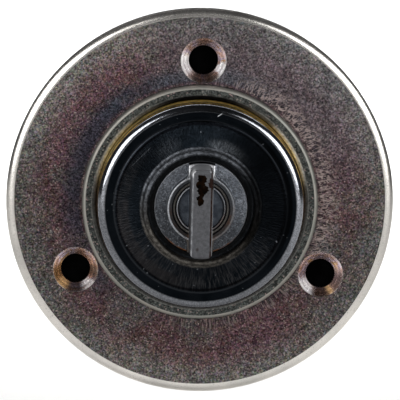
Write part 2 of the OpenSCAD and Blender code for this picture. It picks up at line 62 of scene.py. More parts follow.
# ---------------------------------------------------------------- shader helpers
class Tree:
    """A small builder for one material's nodes. Values may be numbers, colours or node outputs."""

    def __init__(self, name):
        self.mat = bpy.data.materials.new(name)
        self.mat.use_nodes = True
        self.t = self.mat.node_tree
        self.t.nodes.clear()
        self.out = self.t.nodes.new("ShaderNodeOutputMaterial")
        self.p = self.t.nodes.new("ShaderNodeTexCoord").outputs["Object"]

    def put(self, socket, value):
        if isinstance(value, bpy.types.NodeSocket):
            self.t.links.new(value, socket)
        elif isinstance(value, (tuple, list)) and len(value) == 3 and socket.type == "RGBA":
            socket.default_value = (*value, 1.0)
        else:
            socket.default_value = value

    def math(self, op, first, *others):
        """Applies an operation to one value, or chains it over several from left to right."""
        total = first
        for other in others or (0.0,):
            n = self.t.nodes.new("ShaderNodeMath")
            n.operation = op
            self.put(n.inputs[0], total)
            self.put(n.inputs[1], other)
            total = n.outputs[0]
        return total

    def add(self, *values):
        return self.math("ADD", *values)

    def sub(self, a, b):
        return self.math("SUBTRACT", a, b)

    def mul(self, *values):
        return self.math("MULTIPLY", *values)

    def div(self, a, b):
        return self.math("DIVIDE", a, b)

    def most(self, *values):
        return self.math("MAXIMUM", *values)

    def least(self, *values):
        return self.math("MINIMUM", *values)

    def vec(self, op, a, b=None, out=0):
        n = self.t.nodes.new("ShaderNodeVectorMath")
        n.operation = op
        self.put(n.inputs[0], a)
        if b is not None:
            self.put(n.inputs[3 if op == "SCALE" else 1], b)
        return n.outputs[out]

    def split(self, v):
        n = self.t.nodes.new("ShaderNodeSeparateXYZ")
        self.put(n.inputs[0], v)
        return n.outputs

    def join(self, x=0.0, y=0.0, z=0.0):
        n = self.t.nodes.new("ShaderNodeCombineXYZ")
        for s, v in zip(n.inputs, (x, y, z)):
            self.put(s, v)
        return n.outputs[0]

    def noise(self, scale, detail=3.0, rough=0.55, vector=None, distortion=0.0):
        n = self.t.nodes.new("ShaderNodeTexNoise")
        self.put(n.inputs["Vector"], self.p if vector is None else vector)
        n.inputs["Scale"].default_value = scale
        n.inputs["Detail"].default_value = detail
        n.inputs["Roughness"].default_value = rough
        n.inputs["Distortion"].default_value = distortion
        return n.outputs["Fac"]

    def cells(self, scale):
        """A random colour for each small cell."""
        n = self.t.nodes.new("ShaderNodeTexVoronoi")
        self.put(n.inputs["Vector"], self.p)
        n.inputs["Scale"].default_value = scale
        return n.outputs["Color"]

    def span(self, v, lo, hi, a=0.0, b=1.0, smooth=True):
        """Goes from a to b while v goes from lo to hi, and holds its value outside them."""
        n = self.t.nodes.new("ShaderNodeMapRange")
        n.interpolation_type = "SMOOTHSTEP" if smooth else "LINEAR"
        n.clamp = True
        for s, x in zip(n.inputs, (v, lo, hi, a, b)):
            self.put(s, x)
        return n.outputs[0]

    def mix(self, fac, a, b, blend="MIX"):
        n = self.t.nodes.new("ShaderNodeMix")
        n.data_type, n.blend_type = "RGBA", blend
        self.put(n.inputs[0], fac)
        self.put(n.inputs[6], a)
        self.put(n.inputs[7], b)
        return n.outputs[2]

    def times(self, colour, factor):
        """Multiplies all of a colour by one factor."""
        return self.mix(1.0, colour, self.join(factor, factor, factor), "MULTIPLY")

    def ramp(self, fac, stops):
        n = self.t.nodes.new("ShaderNodeValToRGB")
        e = n.color_ramp.elements
        while len(e) < len(stops):
            e.new(0.5)
        for el, (at, col) in zip(e, stops):
            el.position, el.color = at, (*col, 1.0)
        self.put(n.inputs[0], fac)
        return n.outputs[0]

    def bump(self, height, distance, strength=1.0, normal=None):
        n = self.t.nodes.new("ShaderNodeBump")
        n.inputs["Strength"].default_value = strength
        n.inputs["Distance"].default_value = distance
        self.put(n.inputs["Height"], height)
        if normal is not None:
            self.put(n.inputs["Normal"], normal)
        return n.outputs[0]

    def distance(self, x, z):
        """The length of the vector (x, z) in the plane of the panel."""
        return self.vec("LENGTH", self.join(x, 0.0, z), out=1)

    def polar(self):
        """Distance from the turning axis in millimetres and the unit direction round it."""
        x, _, z = self.split(self.p)
        flat = self.join(x, 0.0, z)
        return self.mul(self.vec("LENGTH", flat, out=1), 1000.0), self.vec("NORMALIZE", flat)

    def rays(self, u, fine, along, shift=0.0):
        """Texture coordinates for marks that follow `along` and are `fine` times closer round the axis."""
        return self.vec("ADD", self.vec("SCALE", u, fine), self.join(0.0, along, shift))

    def finish(self, colour, rough, metal=1.0, normal=None, **constants):
        n = self.t.nodes.new("ShaderNodeBsdfPrincipled")
        self.put(n.inputs["Base Color"], colour)
        self.put(n.inputs["Roughness"], rough)
        self.put(n.inputs["Metallic"], metal)
        if normal is not None:
            self.put(n.inputs["Normal"], normal)
        for k, v in constants.items():
            n.inputs[k.replace("_", " ")].default_value = v
        self.t.links.new(n.outputs[0], self.out.inputs[0])
        return self.mat


# ---------------------------------------------------------------- flange and collar materials
def collar_lip(t, base, r, ux, uz, grain):
    """The collar's inner lip, with painted light: painted shade makes it dark at the top and sides, and
    painted highlights make it bright to the upper left and upper right.
    """
    right = t.add(t.mul(ux, 0.866), t.mul(uz, 0.5))
    left = t.sub(t.mul(uz, 0.5), t.mul(ux, 0.866))
    # Painted highlights to the upper right and upper left, fainter at the top.
    glow = t.add(t.span(right, 0.93, 1.0, 0.42, 3.0), t.span(left, 0.90, 1.0, 0.0, 1.4))
    glow = t.mul(glow, t.span(uz, 0.86, 0.99, 1.0, 0.30))
    slope = t.span(r, 20.98, 20.78)
    glow = t.add(t.sub(1.0, slope), t.mul(slope, glow))
    # Painted shade: the lip's colour darkens toward the top.
    metal = t.mix(t.span(uz, 0.82, 0.99), (0.150, 0.148, 0.138), (0.030, 0.030, 0.030))
    lively = t.mul(t.span(grain, 0.36, 0.64, 0.7, 1.3), glow)
    return t.mix(t.span(r, 21.15, 20.85), base, t.times(metal, lively))


def rolled_marks(t, base, r, u, ux, uz, mottle):
    """Short dark and pale marks on the plate round the collar's root, strongest at the right."""
    hatch = t.noise(1.0, 1.0, 0.5, vector=t.rays(u, 82.0, t.mul(r, 0.55), 7.0))
    band = t.mul(t.span(t.add(r, t.mul(mottle, 2.4)), 27.6, 25.4), t.span(r, 23.0, 23.3))
    upper_right = t.span(t.add(t.mul(ux, 0.9), t.mul(uz, 0.45)), 0.45, 0.85)
    lower_right = t.span(t.sub(t.mul(ux, 0.45), uz), 0.65, 1.05)
    band = t.mul(band, t.most(upper_right, t.mul(lower_right, 0.55)))
    base = t.mix(t.mul(band, t.span(hatch, 0.50, 0.42, 0.0, 0.75)), base, (0.014, 0.013, 0.016))
    base = t.mix(t.mul(band, t.span(hatch, 0.53, 0.62, 0.0, 0.70)), base, (0.23, 0.185, 0.175))
    stretched = t.vec("MULTIPLY", t.vec("ADD", t.p, (0.3, 0.0, 0.0)), (0.5, 1.0, 1.4))
    worm = t.noise(1900, 1.0, 0.5, vector=stretched, distortion=1.4)
    side = t.mul(t.span(t.add(ux, t.mul(uz, 0.35)), 0.55, 0.90), t.span(r, 23.0, 23.4), t.span(r, 28.0, 24.6))
    return t.mix(t.mul(side, t.span(worm, 0.54, 0.61, 0.0, 0.9)), base, (0.27, 0.215, 0.20))


def zinc_plate():
    """Grainy zinc plate with purple, brown and blue tints, darker rolled marks round the collar, and painted
    light on the outer plate, a few crystals and the collar's inner lip.
    """
    t = Tree("zinc_plate")
    r, u = t.polar()
    ux, _, uz = t.split(u)
    grain = t.noise(2700, 3.0, 0.7)
    crystal = t.split(t.cells(3900))
    patch = t.noise(105, 4.0, 0.65, distortion=0.5)
    drift = t.noise(40, 2.0, 0.5, vector=t.vec("ADD", t.p, (3.1, 0.7, 1.9)))
    mottle = t.noise(520, 3.0, 0.6)

    # Clouded plate, paler where it is worn towards the rim, plain grey on the collar.
    base = t.ramp(t.add(t.mul(patch, 0.5), t.mul(drift, 0.5)),
                  [(0.34, (0.058, 0.062, 0.062)), (0.43, (0.068, 0.056, 0.055)),
                   (0.50, (0.066, 0.040, 0.042)), (0.57, (0.070, 0.043, 0.050)),
                   (0.66, (0.062, 0.048, 0.037))])
    edge = t.ramp(patch, [(0.35, (0.074, 0.076, 0.074)), (0.65, (0.090, 0.084, 0.078))])
    worn = t.most(t.span(r, 29.0, 36.0), t.mul(t.span(patch, 0.56, 0.66), 0.6))
    base = t.mix(worn, base, edge)
    base = t.mix(t.span(r, 23.2, 22.6), base, (0.052, 0.056, 0.053))

    # Sandy crystals, each with its own brightness and tint; the outer plate painted lighter over its upper
    # part, less at the very top, and at the bottom, as light falls and reflects; and a few crystals painted
    # bright as glints.
    speck = t.mul(t.span(grain, 0.34, 0.68, 0.36, 1.68, smooth=False), t.add(0.38, t.mul(crystal[0], 1.18)),
                  t.span(mottle, 0.35, 0.65, 0.82, 1.18))
    base = t.times(base, speck)
    tint = t.vec("ADD", t.vec("SCALE", t.cells(2600), 0.34), (0.86, 0.82, 0.81))
    base = t.mix(t.span(r, 22.6, 23.2, 0.15, 1.0), base, tint, "MULTIPLY")
    # Painted light on the outer plate.
    high = t.add(t.sub(t.span(uz, 0.1, 0.5, 0.0, 0.55), t.span(uz, 0.88, 1.0, 0.0, 0.30)),
                 t.span(uz, -0.70, -1.0, 0.0, 0.42))
    base = t.times(base, t.add(1.0, t.mul(high, t.span(r, 27.0, 34.0))))
    # Painted glints on a few crystals.
    glint = t.mul(t.span(crystal[1], 0.90, 0.96), t.span(grain, 0.40, 0.60, 0.2, 0.85))
    base = t.mix(glint, base, t.mix(crystal[2], (0.30, 0.20, 0.20), (0.26, 0.245, 0.21)))

    # Blue, violet and black stains round the collar, and the collar's inner lip.
    blue = t.mul(t.span(t.sub(uz, t.mul(ux, 0.35)), 0.45, 1.05), t.span(r, 27.5, 25.0),
                 t.span(r, 22.9, 24.0), t.span(patch, 0.38, 0.60, 0.35, 0.85))
    base = t.mix(blue, base, t.times((0.030, 0.041, 0.054), speck))
    base = collar_lip(t, base, r, ux, uz, grain)
    cool = t.mul(t.span(t.add(t.mul(ux, 0.55), uz), 0.55, 1.05), t.span(r, 23.0, 24.5))
    base = t.mix(t.mul(cool, 0.45), base, t.times((0.100, 0.098, 0.108), speck))
    dusk = t.mul(t.span(t.sub(0.0, ux), 0.3, 1.0), t.span(r, 29.0, 24.5), t.span(r, 22.9, 23.6))
    dusk = t.mul(dusk, t.span(patch, 0.36, 0.58, 0.3, 0.85))
    base = t.mix(dusk, base, t.times((0.024, 0.024, 0.034), speck))
    ring = t.mul(t.span(r, 25.2, 23.3), t.span(r, 22.85, 23.1))
    streak = t.noise(1.0, 2.0, 0.6, vector=t.rays(u, 105.0, t.mul(r, 0.7)))
    base = t.mix(t.mul(ring, t.span(streak, 0.50, 0.60, 0.0, 0.8)), base, (0.012, 0.012, 0.014))
    base = rolled_marks(t, base, r, u, ux, uz, mottle)

    n = t.bump(t.add(t.mul(grain, 0.6), t.mul(crystal[0], 0.4)), 0.00006, 0.5)
    n = t.bump(t.mul(streak, ring), 0.00020, 0.5, normal=n)
    return t.finish(base, t.add(0.37, t.mul(grain, 0.16)), 1.0, n)


def zinc_rim():
    """The flange's rounded edge: the same plating, smoother and paler, and painted paler still underneath as
    a reflection of the pale floor.
    """
    t = Tree("zinc_rim")
    patch = t.noise(120, 3.0, 0.6)
    fine = t.noise(3500, 2.0, 0.6)
    base = t.ramp(patch, [(0.35, (0.52, 0.50, 0.47)), (0.65, (0.64, 0.61, 0.57))])
    base = t.mix(t.mul(t.span(fine, 0.58, 0.72), 0.6), base, (0.28, 0.27, 0.25))
    _, u = t.polar()
    # Painted reflection: paler underneath, where the rim faces the pale floor.
    base = t.times(base, t.span(t.split(u)[2], -0.15, -0.95, 1.0, 1.38))
    return t.finish(base, t.add(0.20, t.mul(patch, 0.10)), 1.0, t.bump(fine, 0.00003, 0.35))


def zinc_edge():
    """The outer edge of the collar: even and pale, painted paler than the plate as a reflection of the bright
    surroundings.
    """
    t = Tree("zinc_edge")
    patch = t.noise(160, 2.0, 0.6)
    fine = t.noise(4200, 2.0, 0.6)
    base = t.ramp(patch, [(0.38, (0.20, 0.20, 0.18)), (0.62, (0.25, 0.235, 0.21))])
    base = t.mix(t.mul(t.span(fine, 0.60, 0.74), 0.5), base, (0.12, 0.11, 0.10))
    return t.finish(base, 0.45, 0.6, t.bump(fine, 0.00003, 0.4))


# Tinted patches of the top, left and right countersinks, with patches of painted highlight and painted shade
# among them. Each is the angle clockwise from the top, how narrow the patch is (1 is narrowest), its colour
# and how much painted highlight it carries.
PAINTED_HIGHLIGHT, GOLD, PAINTED_SHADE = (0.95, 0.95, 0.97), (0.88, 0.55, 0.25), (0.30, 0.24, 0.20)
BROWN, PINK = (0.66, 0.36, 0.15), (0.50, 0.36, 0.34)
CONE_TINTS = (
    ((252, 0.66, PAINTED_HIGHLIGHT, 1.0), (118, 0.90, PAINTED_HIGHLIGHT, 1.0), (152, 0.90, PAINTED_SHADE, 0.0), (212, 0.92, PAINTED_SHADE, 0.0)),
    ((255, 0.70, BROWN, 0.0), (216, 0.90, GOLD, 0.4), (92, 0.88, PAINTED_SHADE, 0.0), (142, 0.90, PAINTED_HIGHLIGHT, 0.75)),
    ((228, 0.74, PAINTED_HIGHLIGHT, 1.0), (104, 0.74, PINK, 0.0), (151, 0.93, GOLD, 0.8)),
)


def countersink():
    """Machined cones with fine turning rings and pink and gold tints, with painted highlights and painted
    shade on each cone.
    """
    t = Tree("countersink")
    x, _, z = t.split(t.p)
    tint = t.noise(420, 3.0, 0.6)
    base = t.ramp(tint, [(0.34, (0.50, 0.28, 0.20)), (0.44, (0.82, 0.56, 0.48)), (0.53, (0.66, 0.56, 0.70)),
                         (0.62, (0.80, 0.48, 0.24))])
    from_hole, gz, silver = None, 0.0, 0.0
    for (hx, hz), patches in zip(HOLES, CONE_TINTS):
        dx, dz = t.sub(x, hx * MM), t.sub(z, hz * MM)
        d = t.distance(dx, dz)
        near = t.span(d, 0.0056, 0.0053)
        ux, uz = t.div(dx, d), t.div(dz, d)
        gz = t.add(gz, t.mul(near, uz))
        from_hole = d if from_hole is None else t.least(from_hole, d)
        for angle, narrow, colour, painted_shine in patches:
            turn = math.radians(angle)
            toward = t.add(t.mul(ux, math.sin(turn)), t.mul(uz, math.cos(turn)))
            ragged = t.add(toward, t.mul(t.sub(tint, 0.5), 0.30))
            weight = t.mul(near, t.span(ragged, narrow, 1.0))
            base = t.mix(t.mul(weight, 0.92), base, colour)
            silver = t.most(silver, t.mul(weight, painted_shine))

    # Turning rings, painted light and shade across each cone with painted shade on its crown and foot, its
    # pale upper edge and the bore painted dark as shade.
    lit = t.add(t.span(gz, -0.2, 0.7, 0.72, 1.38), t.mul(silver, 0.5))
    rings = t.span(t.math("SINE", t.mul(from_hole, 9500.0)), -0.8, 0.9, 0.72, 1.12)
    base = t.times(base, t.mul(lit, rings))
    crown = t.mul(t.span(gz, 0.86, 0.99), t.span(from_hole, 0.0041, 0.0036))
    base = t.mix(t.mul(crown, 0.45), base, (0.12, 0.09, 0.08))
    rim = t.mul(t.span(from_hole, 0.00418, 0.00434), t.span(tint, 0.38, 0.55, 0.25, 0.75))
    base = t.mix(rim, base, (0.90, 0.88, 0.84))
    base = t.mix(t.span(from_hole, 0.00292, 0.00282), base, (0.05, 0.04, 0.038))
    # Painted shade darkens the foot of each cone.
    base = t.times(base, t.span(gz, -0.98, -0.80, 0.30, 1.0))
    rub = t.noise(2400, 2.0, 0.6)
    # Less metallic where the painted highlights are, so that they read as bright patches.
    metal = t.sub(0.90, t.mul(silver, 0.32))
    return t.finish(base, t.add(0.20, t.mul(rub, 0.12)), metal, t.bump(rub, 0.00002, 0.4))


# ---------------------------------------------------------------- cover shell and can materials
def scratch(t, a, b, width):
    """1 on a thin straight scratch between two (x, z) points in millimetres, seen from the front."""
    x, _, z = t.split(t.p)
    dx, dz = (b[0] - a[0]) * MM, (b[1] - a[1]) * MM
    length = math.hypot(dx, dz)
    px, pz = t.sub(x, a[0] * MM), t.sub(z, a[1] * MM)
    along = t.div(t.add(t.mul(px, dx), t.mul(pz, dz)), length)
    off = t.math("ABSOLUTE", t.div(t.sub(t.mul(px, dz), t.mul(pz, dx)), length))
    line = t.span(off, width * MM, width * MM * 0.3)
    ends = t.mul(t.span(along, 0.0, length * 0.2), t.span(along, length, length * 0.8))
    return t.mul(line, ends)


def stretch_marks_and_sheen(t, base, r, ux, uz, radial, dish):
    """Radial stretch marks on the dished face, painted lighter as a sheen low down and at the left, and two
    hazes of painted reflection near the top.
    """
    low = t.most(t.span(uz, -0.15, -0.75), t.mul(t.span(ux, -0.6, -0.95), t.span(r, 12.9, 15.2, 0.0, 0.55)))
    streaks = t.mul(dish, low, t.span(radial, 0.42, 0.68, 0.0, 1.0))
    base = t.mix(t.mul(streaks, t.span(r, 12.0, 15.0, 0.40, 0.75)), base, (0.040, 0.040, 0.042))
    right_at = t.distance(t.div(t.sub(ux, 0.40), 0.42), t.div(t.sub(r, 12.3), 1.9))
    right = t.mul(t.span(right_at, 1.0, 0.2), t.span(uz, 0.2, 0.6), t.span(radial, 0.34, 0.62, 0.3, 1.0))
    left_at = t.distance(t.div(t.add(ux, 0.50), 0.25), t.div(t.sub(r, 13.0), 2.4))
    left = t.mul(t.span(left_at, 1.0, 0.2), t.span(uz, 0.2, 0.6), t.span(radial, 0.34, 0.62, 0.2, 0.8))
    return t.mix(t.mul(t.most(right, t.mul(left, 0.35)), 0.75), base, (0.055, 0.060, 0.066))


def shell_lip(t, base, lip, ux, uz):
    """The rolled lip round the seal: rubbed and pitted and browner below, with painted highlight making it
    lighter and bluer above and brightest at the left, and dim at the right.
    """
    rub = t.mix(t.span(uz, -0.5, 0.4), (0.040, 0.037, 0.033), (0.056, 0.060, 0.067))
    pits = t.span(t.noise(1700, 3.0, 0.7), 0.38, 0.62, 0.45, 1.45)
    painted_catchlight = t.mul(t.span(ux, 0.2, -0.4, 1.4, 2.0), t.span(ux, 0.45, 0.92, 1.0, 0.08),
                  t.span(ux, -0.93, -1.0, 1.0, 0.55))
    return t.mix(lip, base, t.times(rub, t.mul(pits, painted_catchlight)))


def shell_face():
    """Blackened drawn steel: polished, with a crease, a worn shoulder with painted highlights, short radial
    stretch marks with a painted sheen, and a painted dark reflection at the right.
    """
    t = Tree("shell_face")
    r, u = t.polar()
    ux, _, uz = t.split(u)
    lap = t.noise(1.0, 2.0, 0.6, vector=t.join(t.mul(r, 6.0), 0.0, 0.0))
    radial = t.noise(1.0, 3.0, 0.7, vector=t.rays(u, 58.0, t.mul(r, 0.45)))
    cloud = t.noise(170, 4.0, 0.6, distortion=0.6)
    fine = t.noise(4200, 2.0, 0.6)
    dish = t.mul(t.span(r, 11.2, 11.9), t.span(r, 16.7, 16.2))
    base = t.ramp(cloud, [(0.35, (0.0030, 0.0042, 0.0056)), (0.65, (0.0066, 0.0084, 0.0108))])
    base = stretch_marks_and_sheen(t, base, r, ux, uz, radial, dish)

    # The crease at the dish's edge and the dark line inside it, then a painted dark reflection at the right
    # and a warm left.
    crease = t.mul(t.span(r, 16.95, 16.75), t.span(r, 16.45, 16.65))
    base = t.mix(t.mul(crease, 0.6), base, (0.030, 0.033, 0.038))
    dark = t.mul(t.span(r, 16.45, 16.30), t.span(r, 15.7, 16.1))
    base = t.mix(t.mul(dark, 0.85), base, (0.0015, 0.0015, 0.002))
    dusk = t.mul(t.span(t.add(ux, t.mul(uz, 0.25)), 0.45, 0.95), t.span(r, 17.9, 17.4))
    base = t.mix(t.mul(dusk, 0.80), base, (0.0010, 0.0011, 0.0013))
    warm = t.mul(t.span(r, 13.6, 14.4), t.span(r, 16.2, 15.8),
                 t.span(t.add(ux, t.mul(uz, 0.6)), -0.35, -0.95))
    base = t.mix(t.mul(warm, t.span(cloud, 0.38, 0.60, 0.10, 0.55)), base, (0.020, 0.018, 0.018))

    # The shoulder, worn paler, with painted highlights making it brighter at the right and upper left and
    # painted shade dimming it at the very top, and the dark skirt below it.
    shoulder = t.span(r, 18.25, 18.6)
    right = t.span(t.add(t.mul(ux, 0.966), t.mul(uz, 0.259)), 0.55, 0.95, 0.0, 0.34)
    left = t.span(t.sub(t.mul(uz, 0.669), t.mul(ux, 0.743)), 0.55, 0.92, 0.0, 0.28)
    painted_shine = t.add(right, left, t.span(uz, 0.90, 0.99, 0.66, 0.34))
    painted_shine = t.mul(t.span(t.noise(3600, 2.0, 0.6), 0.35, 0.65, 0.7, 1.25), painted_shine)
    base = t.mix(shoulder, base, t.times((0.27, 0.28, 0.305), painted_shine))
    y = t.split(t.p)[1]
    skirt = t.mul(t.span(r, 19.68, 19.74), t.span(y, -0.0081, -0.0079))
    base = t.mix(skirt, base, (0.012, 0.011, 0.011))
    lip = t.span(r, 11.9, 11.35)
    base = shell_lip(t, base, lip, ux, uz)

    # A faint long scratch and dust, and one short bright scratch near the top.
    marks = t.mul(scratch(t, (-13.9, 7.2), (-9.6, 11.6), 0.08), 0.35)
    dust = t.mul(t.span(t.noise(1500, 1.0, 0.5), 0.755, 0.775), 0.5)
    base = t.mix(t.most(marks, dust), base, (0.14, 0.15, 0.165))
    base = t.mix(scratch(t, (2.7, 17.5), (3.9, 18.35), 0.13), base, (0.70, 0.72, 0.75))
    rough = t.sub(t.add(0.13, t.mul(cloud, 0.12), t.mul(lip, 0.42)), t.mul(shoulder, 0.06))
    n = t.bump(lap, 0.00003, 0.25)
    n = t.bump(t.mul(radial, dish), 0.00020, 0.5, normal=n)
    return t.finish(base, rough, 1.0, t.bump(fine, 0.00002, 0.25, normal=n))


def shell_gold():
    """Drawn side of the shell: blackened near the shoulder, with gold passivation left towards the foot."""
    t = Tree("shell_gold")
    y = t.split(t.p)[1]
    _, u = t.polar()
    uz = t.split(u)[2]
    stain = t.noise(900, 4.0, 0.7)
    gold = t.ramp(t.noise(90, 3.0, 0.6), [(0.36, (0.82, 0.50, 0.10)), (0.64, (0.98, 0.70, 0.22))])
    gold = t.mix(t.span(uz, 0.45, 0.0), gold, (0.20, 0.105, 0.045))
    gold = t.mix(t.span(uz, -0.05, -0.40), gold, (0.12, 0.118, 0.12))
    level = t.add(y, t.mul(t.sub(stain, 0.5), 0.0012))
    foot = t.span(level, -0.0068, -0.0050)
    base = t.mix(foot, t.mix(0.14, (0.012, 0.010, 0.008), gold), gold)
    base = t.times(base, t.span(stain, 0.38, 0.62, 0.45, 1.2))
    rough = t.add(0.24, t.mul(stain, 0.16))
    return t.finish(base, rough, t.sub(1.0, t.mul(foot, 0.55)), t.bump(stain, 0.00004, 0.5))


def gold_zinc():
    """Yellow chromated sheet: clouded with pink and green, scuffed, with drawing marks along the axis."""
    t = Tree("gold_zinc")
    _, u = t.polar()
    y = t.split(t.p)[1]
    cloud = t.noise(90, 3.0, 0.6)
    drawn = t.noise(90, 3.0, 0.6, vector=t.rays(u, 1.0, t.mul(y, 4.0)))
    base = t.ramp(t.add(t.mul(cloud, 0.7), t.mul(drawn, 0.3)),
                  [(0.38, (0.46, 0.40, 0.24)), (0.62, (0.60, 0.50, 0.33))])
    hue = t.noise(70, 4.0, 0.6, distortion=0.8)
    base = t.mix(t.span(hue, 0.48, 0.66, 0.0, 0.55), base, (0.40, 0.30, 0.29))
    base = t.mix(t.span(hue, 0.46, 0.34, 0.0, 0.45), base, (0.33, 0.37, 0.25))
    scuff = t.mul(t.span(t.noise(1800, 3.0, 0.7), 0.56, 0.68), t.span(cloud, 0.42, 0.60, 0.2, 0.8))
    base = t.mix(scuff, base, (0.20, 0.17, 0.13))
    lines = t.noise(1.0, 2.0, 0.6, vector=t.rays(u, 60.0, t.mul(y, 60.0)))
    drawn = t.add(t.mul(drawn, 0.5), t.mul(lines, 0.5))
    rough = t.add(0.30, t.mul(t.add(drawn, hue), 0.12))
    n = t.bump(drawn, 0.00006, 0.3)
    return t.finish(base, rough, 1.0, t.bump(t.noise(2600, 2.0, 0.6), 0.00003, 0.4, normal=n))


# ---------------------------------------------------------------- handle material
# Bands of the raised ring, painted highlights on its two crests and painted shade in its step and groove:
# inner and outer radius in millimetres, colour, and if it is painted brighter toward the upper left.
RING_BANDS = (
    (6.12, 6.45, (0.30, 0.31, 0.33), True),
    (5.36, 5.58, (0.008, 0.008, 0.010), False),
    (4.98, 5.30, (0.090, 0.084, 0.076), False),
    (4.70, 4.96, (0.010, 0.010, 0.012), False),
    (4.42, 4.62, (0.26, 0.27, 0.29), True),
)
# Discs that make up the rusty patch on the blade's end face: x, z and radius in millimetres.
RUST_SPOTS = (
    (-0.17, 6.75, 0.80), (-0.36, 5.80, 0.72), (0.24, 4.80, 0.72), (-0.30, 4.45, 0.62),
    (-0.15, 3.85, 0.42), (-0.50, 3.25, 0.50), (-0.15, 2.75, 0.42), (-0.40, 2.35, 0.46),
)


def hub_marks(t, base, r, y, z, ux, uz, grain):
    """The raised ring with its bands, rust-brown below, the sunk pocket in it, the ears painted lighter above
    as lit, and the rust along the lower rim; the bands carry painted highlights and painted shade.
    """
    raised = t.span(y, -0.0096, -0.0099)
    low = t.span(y, -0.0117, -0.0114)
    upper = t.span(uz, -0.45, 0.30)
    plain = t.span(grain, 0.35, 0.65, 0.75, 1.25)
    rust_tint = t.span(t.noise(520, 3.0, 0.6), 0.42, 0.60)
    under = t.mix(rust_tint, (0.058, 0.052, 0.050), (0.085, 0.050, 0.036))
    tone = t.mix(upper, under, (0.090, 0.094, 0.102))
    # The bands: painted highlights on the two crests, brighter toward the upper left, and painted shade in
    # the step and the groove.
    for inner, outer, colour, shaded in RING_BANDS:
        band = t.mul(t.span(r, inner - 0.05, inner + 0.03), t.span(r, outer + 0.05, outer - 0.03))
        if shaded:
            band = t.mul(band, t.span(t.sub(t.mul(uz, 0.6), ux), -0.7, 0.7, 0.25, 1.0))
        tone = t.mix(band, tone, colour)
    base = t.mix(t.mul(raised, low, t.span(r, 6.56, 6.50)), base, t.times(tone, plain))
    pocket = t.mul(t.span(r, 4.42, 4.36), t.span(y, -0.0106, -0.0103))
    sunk = t.ramp(t.noise(600, 3.0, 0.6), [(0.35, (0.016, 0.021, 0.030)), (0.65, (0.060, 0.069, 0.084))])
    base = t.mix(pocket, base, sunk)
    # The ears: lighter on the upper side as painted light, darker and browner below.
    ear = t.mix(upper, (0.050, 0.044, 0.040), (0.13, 0.135, 0.145))
    base = t.mix(t.mul(t.span(r, 6.50, 6.56), raised, low), base, t.times(ear, plain))
    rust_edge = t.mul(t.span(r, 8.6, 8.85), t.span(z, -0.0050, -0.0072), t.span(y, -0.0096, -0.0093))
    return t.mix(t.mul(rust_edge, t.span(rust_tint, 0.2, 0.8, 0.3, 1.0)), base, (0.16, 0.060, 0.018))


def blade_marks(t, base, x, y, z, body, wall):
    """The blade's face and the painted light on it: painted highlights along its flanks and on its corners,
    its upper end painted pale as lit, and a painted shadow line where that end meets the disc.
    """
    face = t.span(t.noise(1500, 4.0, 0.65), 0.33, 0.67, 0.80, 1.18)
    base = t.mix(body, base, t.times((0.072, 0.073, 0.079), face))
    # Painted highlights along the left and right edges of the blade's face.
    left = t.mul(t.span(x, -0.00172, -0.00186), t.span(y, -0.0168, -0.0176), body)
    left = t.mul(left, t.span(t.noise(900, 2.0, 0.5), 0.36, 0.60, 0.35, 1.0))
    base = t.mix(left, base, (0.34, 0.35, 0.37))
    right = t.mul(t.span(x, 0.00186, 0.00194), body)
    base = t.mix(t.mul(right, 0.9), base, (0.26, 0.265, 0.28))
    side = t.math("ABSOLUTE", x)
    # The upper end painted pale as lit, paler toward its sides and darker toward the front.
    ends = t.mul(t.span(z, 0.0078, 0.0082), t.span(y, -0.0096, -0.0106))
    pale = t.mix(t.span(side, 0.0004, 0.0018), (0.24, 0.245, 0.26), (0.36, 0.365, 0.38))
    base = t.mix(ends, base, t.mix(t.span(y, -0.0170, -0.0178), pale, (0.085, 0.087, 0.094)))
    # Painted highlights on the rounded corners and on the ears' edges.
    bright = t.mul(t.span(side, 0.0012, 0.0017), t.span(z, 0.0068, 0.0076), t.span(y, -0.0135, -0.0170),
                   t.span(y, -0.01858, -0.01850))
    edge = t.mul(t.span(side, 0.00215, 0.00235), t.span(z, 0.0062, 0.0074), t.span(y, -0.0100, -0.0108))
    base = t.mix(t.most(bright, t.mul(edge, 0.8)), base, (0.85, 0.86, 0.88))
    # The painted shadow line where the upper end meets the disc.
    return t.mix(wall, base, (0.003, 0.003, 0.004))


def rust(t, x, z, top, body):
    """Masks of the dark rusty patch, the brown dot beside it and the dark brown line down the right edge."""
    patch = None
    for cx, cz, spot_r in RUST_SPOTS:
        d = t.div(t.distance(t.sub(x, cx * MM), t.sub(z, cz * MM)), spot_r * MM)
        patch = d if patch is None else t.least(patch, d)
    ragged = t.mul(t.sub(t.noise(1900, 2.0, 0.6), 0.5), 1.5)
    patch = t.mul(t.span(t.add(patch, ragged), 1.26, 1.08), top)
    dot = t.mul(t.span(t.distance(t.sub(x, -0.00075), t.sub(z, -0.0066)), 0.00045, 0.0001), top, 0.75)
    line = t.mul(t.span(x, 0.00150, 0.00160), t.span(x, 0.00192, 0.00185), body)
    line = t.mul(line, t.span(t.noise(420, 2.0, 0.5), 0.34, 0.50, 0.45, 1.0))
    bite = t.distance(t.div(t.sub(x, 0.00168), 0.0006), t.div(t.sub(z, 0.0060), 0.0011))
    return patch, dot, t.most(line, t.mul(t.span(t.add(bite, ragged), 1.1, 0.8), top))


